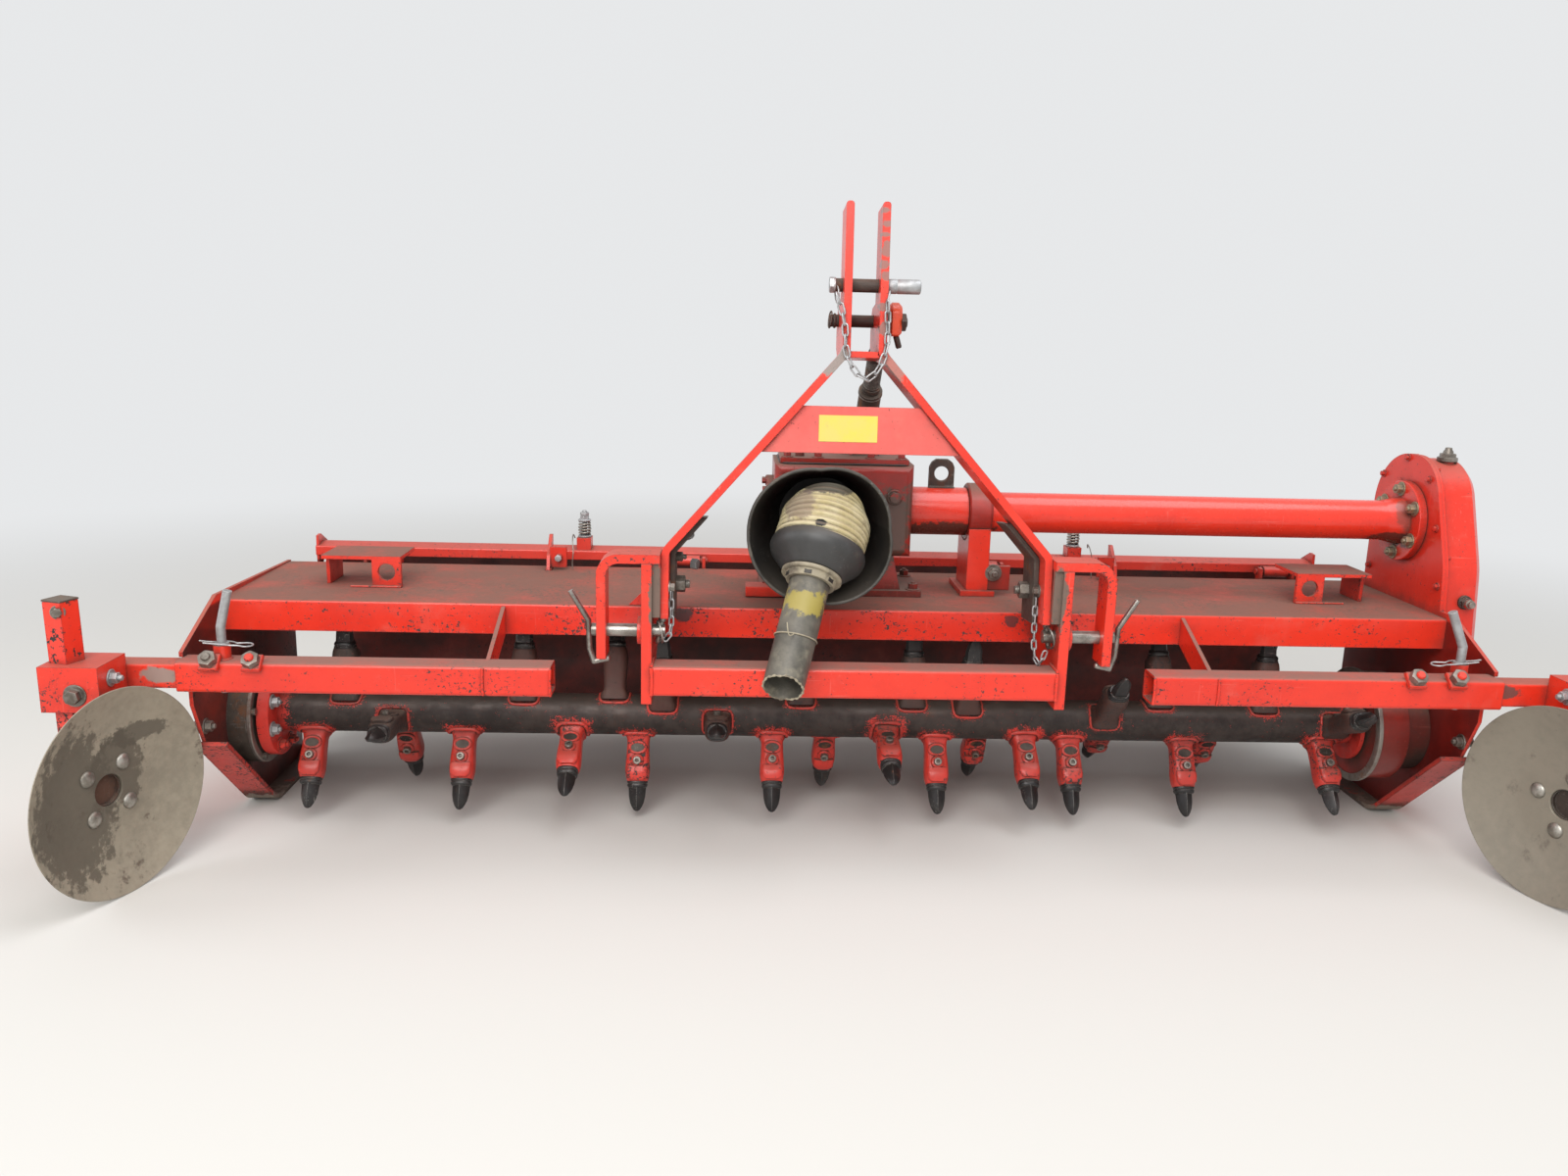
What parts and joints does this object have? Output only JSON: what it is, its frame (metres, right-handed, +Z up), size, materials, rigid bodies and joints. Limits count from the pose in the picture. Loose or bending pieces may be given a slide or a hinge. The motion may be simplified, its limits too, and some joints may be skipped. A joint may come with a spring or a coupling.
{
  "type": "tractor-mounted rotavator",
  "caption": "Rear-mounted power cultivator: tined rotor under a folded hood, A-frame mast, hooded input shaft, side gear case and toed side discs on telescoping bars.",
  "frame": {"origin": "on the floor under the middle of the whole machine", "axes": "+X to the right for someone who faces the hitch, +Y rearwards, away from the tractor, +Z up"},
  "size_m": [2.9668, 1.1016, 1.2917],
  "materials": {
    "red_paint": "semi-gloss, chipped and dusty",
    "dark_steel": "rough, rusty and oily",
    "worn_steel": "worn bright at the tips",
    "disc_steel": "dull, spotted with rust",
    "zinc": "zinc plated, dulled",
    "black_plastic": "dusty",
    "cream_plastic": "dirty",
    "grey_plastic": "dirty, with worn yellow patches"
  },
  "bodies": {
    "frame": {"deck": "red_paint", "side_plate_left": "red_paint", "side_plate_right": "red_paint", "gear_case": "red_paint", "front_crossbeam": "red_paint", "mast_spacer": "red_paint", "mast_cross_plate": "red_paint", "top_link_pin": "zinc", "strut_pin": "dark_steel", "rear_strut": "dark_steel", "gearbox": "red_paint", "gearbox_cover": "red_paint", "pto_bell": "black_plastic", "input_yoke": "dark_steel", "drive_tube": "red_paint", "drive_tube_saddle": "red_paint", "tailgate_hinges": "red_paint", "skid_left": "dark_steel", "skid_right": "dark_steel", "side_beam_left": "red_paint", "side_beam_right": "red_paint", "extension_bar_left": "red_paint", "extension_bar_right": "red_paint", "lock_pin_left": "zinc", "lock_pin_right": "zinc", "hitch_bracket_left": "red_paint", "hitch_bracket_right": "red_paint", "hitch_pin_left": "zinc", "hitch_pin_right": "zinc", "mast_bar_left": "red_paint", "mast_bar_right": "red_paint", "rotor_bearing_left": "dark_steel", "rotor_bearing_right": "dark_steel", "deck_lug_left": "red_paint", "deck_lug_right": "red_paint", "adjuster_bracket_left": "red_paint", "adjuster_bracket_right": "red_paint", "disc_stalk_left": "red_paint", "disc_stalk_right": "red_paint", "disc_clamp_left": "red_paint", "disc_clamp_right": "red_paint"},
    "rotor": {"rotor_tube": "dark_steel", "rotor_tines": "worn_steel"},
    "tailgate_board": {"tailgate": "red_paint", "tailgate_springs": "zinc"},
    "driveline": {"driveline_bellows": "cream_plastic", "driveline_cone": "cream_plastic", "driveline_guard_ring": "cream_plastic", "driveline_guard_tube": "grey_plastic", "driveline_shaft": "dark_steel"},
    "disc_unit_left": {"disc_left": "disc_steel", "disc_hub_left": "dark_steel"},
    "disc_unit_right": {"disc_right": "disc_steel", "disc_hub_right": "dark_steel"}
  },
  "joints": [
    {"name": "rotor_spin", "type": "hinge", "parent": "frame", "child": "rotor", "pos_m": [0, 0.04579, 0.22], "axis": [1, 0, 0], "continuous": true},
    {"name": "tailgate_hinge", "type": "hinge", "parent": "frame", "child": "tailgate_board", "pos_m": [0, 0.36179, 0.502], "axis": [1, 0, 0], "range_deg": [0, 40]},
    {"name": "driveline_lift", "type": "hinge", "parent": "frame", "child": "driveline", "pos_m": [-0.062, -0.14421, 0.675], "axis": [-1, 0, 0], "range_deg": [0, 55]},
    {"name": "disc_left_spin", "type": "hinge", "parent": "frame", "child": "disc_unit_left", "pos_m": [-1.378, -0.35521, 0.196], "axis": [-0.9455, 0.3256, 0], "continuous": true},
    {"name": "disc_right_spin", "type": "hinge", "parent": "frame", "child": "disc_unit_right", "pos_m": [1.378, -0.35521, 0.196], "axis": [0.9455, 0.3256, 0], "continuous": true}
  ]
}
